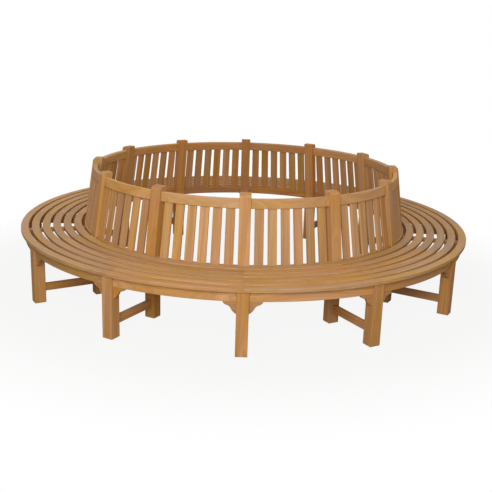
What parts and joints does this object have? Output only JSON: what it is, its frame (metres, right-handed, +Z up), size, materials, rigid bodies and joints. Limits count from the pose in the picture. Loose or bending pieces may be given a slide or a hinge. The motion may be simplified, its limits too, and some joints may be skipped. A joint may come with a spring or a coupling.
{
  "type": "tree bench",
  "caption": "Round slatted wooden bench that circles a tree, with a curved outward-facing seat and an inward-leaning slatted back.",
  "frame": {"origin": "on the ground at the centre of the circle", "axes": "+Z up; the middle of one frame, with its front leg and back post, lies on -Y, and frames follow every 30 degrees"},
  "size_m": [3.3, 3.3, 0.863],
  "materials": {
    "teak_legs": "smooth sanded teak, unfinished, grain upright",
    "teak_rails": "smooth sanded teak, unfinished, grain along the curve",
    "teak_seat_boards": "smooth sanded teak, unfinished, grain along the curve",
    "teak_back_slats": "smooth sanded teak, unfinished, grain upright",
    "teak_frame": "smooth sanded teak, unfinished, grain along the piece",
    "teak_brackets": "smooth sanded teak, unfinished",
    "teak_pegs": "end grain teak, cut flush",
    "teak_plugs": "teak plugs, cut flush",
    "beech_dowels": "fluted hardwood dowels, hidden",
    "brass_screws": "plain brass, hidden"
  },
  "bodies": {
    "root": {"front_leg_01": "teak_legs", "front_leg_02": "teak_legs", "front_leg_03": "teak_legs", "front_leg_04": "teak_legs", "front_leg_05": "teak_legs", "front_leg_06": "teak_legs", "front_leg_07": "teak_legs", "front_leg_08": "teak_legs", "front_leg_09": "teak_legs", "front_leg_10": "teak_legs", "front_leg_11": "teak_legs", "front_leg_12": "teak_legs", "back_post_01": "teak_legs", "back_post_02": "teak_legs", "back_post_03": "teak_legs", "back_post_04": "teak_legs", "back_post_05": "teak_legs", "back_post_06": "teak_legs", "back_post_07": "teak_legs", "back_post_08": "teak_legs", "back_post_09": "teak_legs", "back_post_10": "teak_legs", "back_post_11": "teak_legs", "back_post_12": "teak_legs", "top_rail_01": "teak_rails", "top_rail_02": "teak_rails", "top_rail_03": "teak_rails", "top_rail_04": "teak_rails", "top_rail_05": "teak_rails", "top_rail_06": "teak_rails", "top_rail_07": "teak_rails", "top_rail_08": "teak_rails", "top_rail_09": "teak_rails", "top_rail_10": "teak_rails", "top_rail_11": "teak_rails", "top_rail_12": "teak_rails", "seat_board_row_1": "teak_seat_boards", "seat_board_row_2": "teak_seat_boards", "seat_board_row_3": "teak_seat_boards", "seat_board_row_4": "teak_seat_boards", "seat_board_row_5": "teak_seat_boards", "seat_board_row_6": "teak_seat_boards", "bottom_rails": "teak_rails", "back_slats": "teak_back_slats", "front_aprons": "teak_rails", "seat_battens": "teak_frame", "seat_bearers": "teak_frame", "leg_stretchers": "teak_frame", "corner_brackets": "teak_brackets", "front_leg_pegs": "teak_pegs", "back_post_pegs": "teak_pegs", "bracket_dowels": "beech_dowels", "board_screws": "brass_screws", "board_screw_plugs": "teak_plugs", "batten_screws": "brass_screws"}
  },
  "joints": []
}
